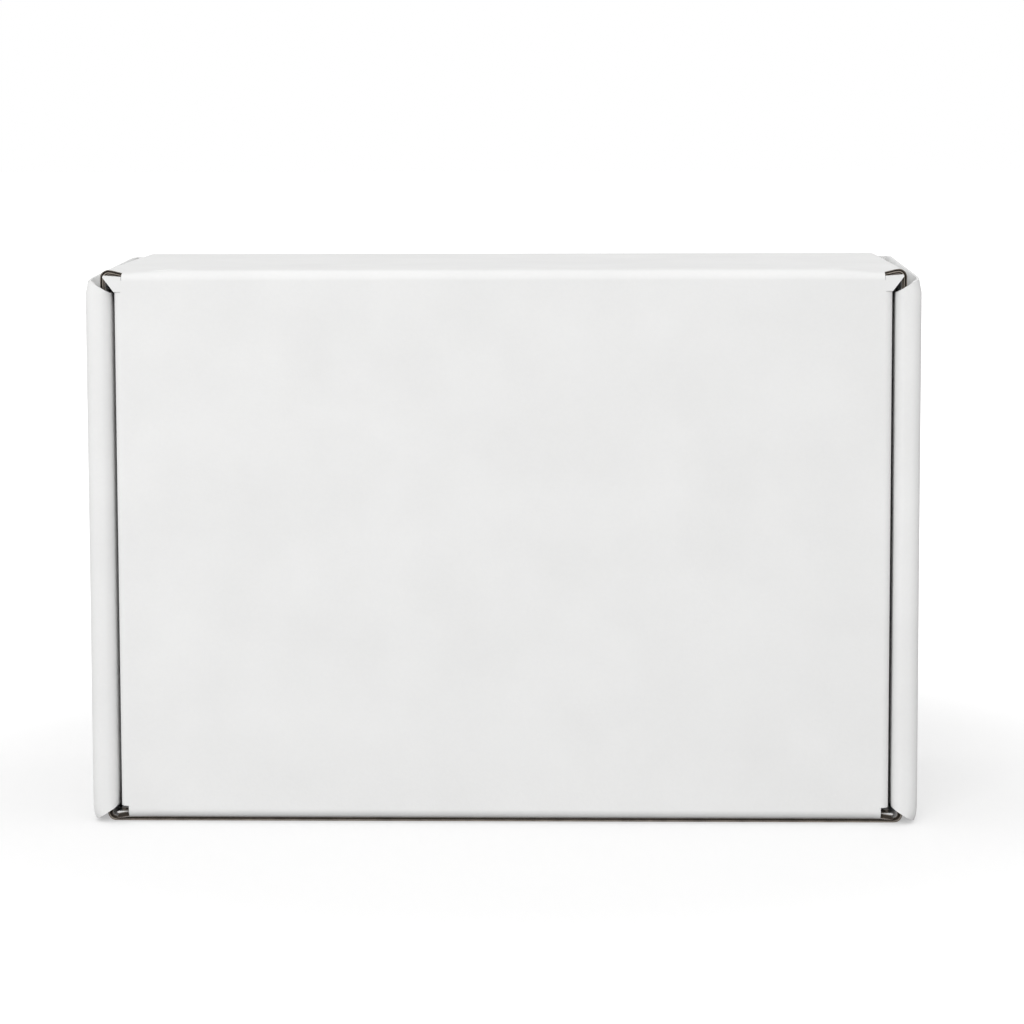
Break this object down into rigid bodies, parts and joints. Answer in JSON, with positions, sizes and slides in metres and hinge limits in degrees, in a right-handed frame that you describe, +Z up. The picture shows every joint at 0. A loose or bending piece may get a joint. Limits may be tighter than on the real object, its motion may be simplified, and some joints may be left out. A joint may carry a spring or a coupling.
{
  "type": "corrugated mailer box",
  "caption": "Closed roll-end tuck-top mailer folded from one sheet of white corrugated board, standing on its front wall, with a hinged lid, side flaps and a tuck flap.",
  "frame": {"origin": "under the middle of the box, on the surface that the front wall stands on", "axes": "+X along the lid's width, +Y from the lid to the base panel, +Z up from the front wall to the rear wall"},
  "size_m": [0.24, 0.1, 0.161],
  "materials": {
    "white_board": "matt white paper liner with brown raw edges"
  },
  "bodies": {
    "tray": {"tray": "white_board", "hinge_fold": "white_board"},
    "lid": {"lid": "white_board", "tuck_fold": "white_board"},
    "tuck_flap": {"tuck_flap": "white_board"}
  },
  "joints": [
    {"name": "lid_hinge", "type": "hinge", "parent": "tray", "child": "lid", "pos_m": [0, -0.04857, 0.15977], "axis": [-1, 0, 0], "range_deg": [0, 170], "deforming": ["hinge_fold"]},
    {"name": "tuck_crease", "type": "hinge", "parent": "lid", "child": "tuck_flap", "pos_m": [0, -0.04905, 0.00205], "axis": [1, 0, 0], "range_deg": [0, 34], "deforming": ["tuck_fold"]}
  ],
  "couplings": [
    {"joint": "tuck_crease", "follows": "lid_hinge", "ratio": 0.2}
  ]
}
